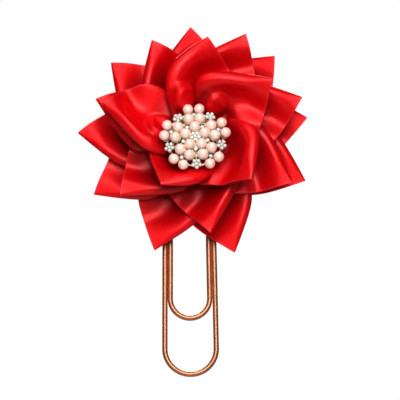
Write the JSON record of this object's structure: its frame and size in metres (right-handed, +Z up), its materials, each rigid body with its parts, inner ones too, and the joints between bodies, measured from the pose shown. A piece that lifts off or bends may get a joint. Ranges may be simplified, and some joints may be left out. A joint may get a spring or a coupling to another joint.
{
  "type": "ribbon flower clip",
  "caption": "Large folded-ribbon flower with a pearl and rhinestone brooch centre, glued to a long wire clip whose inner tongue flexes to grip a page, fabric or band.",
  "frame": {"origin": "page stop of the wire clip: on the clip's axis, in the mid-plane of the wire, at the lower edge of the felt discs where the edge of a page or band stops", "axes": "+Z up from the clip's loops to the flower, -Y out of the flower's face, +X to the right as the flower is faced"},
  "size_m": [0.0989, 0.0352, 0.155],
  "materials": {
    "satin": "glossy red satin ribbon with a fine weave",
    "felt": "matte wool felt",
    "copper_wire": "polished copper-coloured plating on steel wire",
    "glue": "translucent hot-melt glue",
    "gold_metal": "bright gold-tone casting",
    "pearl": "pearlescent coating, white with a peach blush",
    "clear_stone": "faceted foil-backed rhinestone"
  },
  "bodies": {
    "flower": {"clip_frame_wire": "copper_wire", "back_felt": "felt", "base_felt": "felt", "clip_glue": "glue", "centre_glue": "glue", "brooch_glue": "glue", "outer_petal_1": "satin", "outer_petal_2": "satin", "outer_petal_3": "satin", "outer_petal_4": "satin", "outer_petal_5": "satin", "outer_petal_6": "satin", "outer_petal_7": "satin", "outer_petal_8": "satin", "outer_petal_9": "satin", "middle_petal_1": "satin", "middle_petal_2": "satin", "middle_petal_3": "satin", "middle_petal_4": "satin", "middle_petal_5": "satin", "middle_petal_6": "satin", "middle_petal_7": "satin", "inner_petal_1": "satin", "inner_petal_2": "satin", "inner_petal_3": "satin", "inner_petal_4": "satin", "inner_petal_5": "satin", "brooch_plate": "gold_metal", "pearl_cups": "gold_metal", "pearls_inner": "pearl", "pearls_middle": "pearl", "pearls_outer": "pearl", "stone_flower_settings": "gold_metal", "stone_flower_stones": "clear_stone", "single_stone_cups": "gold_metal", "single_stones": "clear_stone"},
    "tongue": {"clip_tongue_wire": "copper_wire"}
  },
  "joints": [
    {"name": "tongue_flex", "type": "hinge", "parent": "flower", "child": "tongue", "pos_m": [0, 0, 0], "axis": [1, 0, 0], "range_deg": [0, 6], "stiffness_Nm_per_rad": 1}
  ]
}
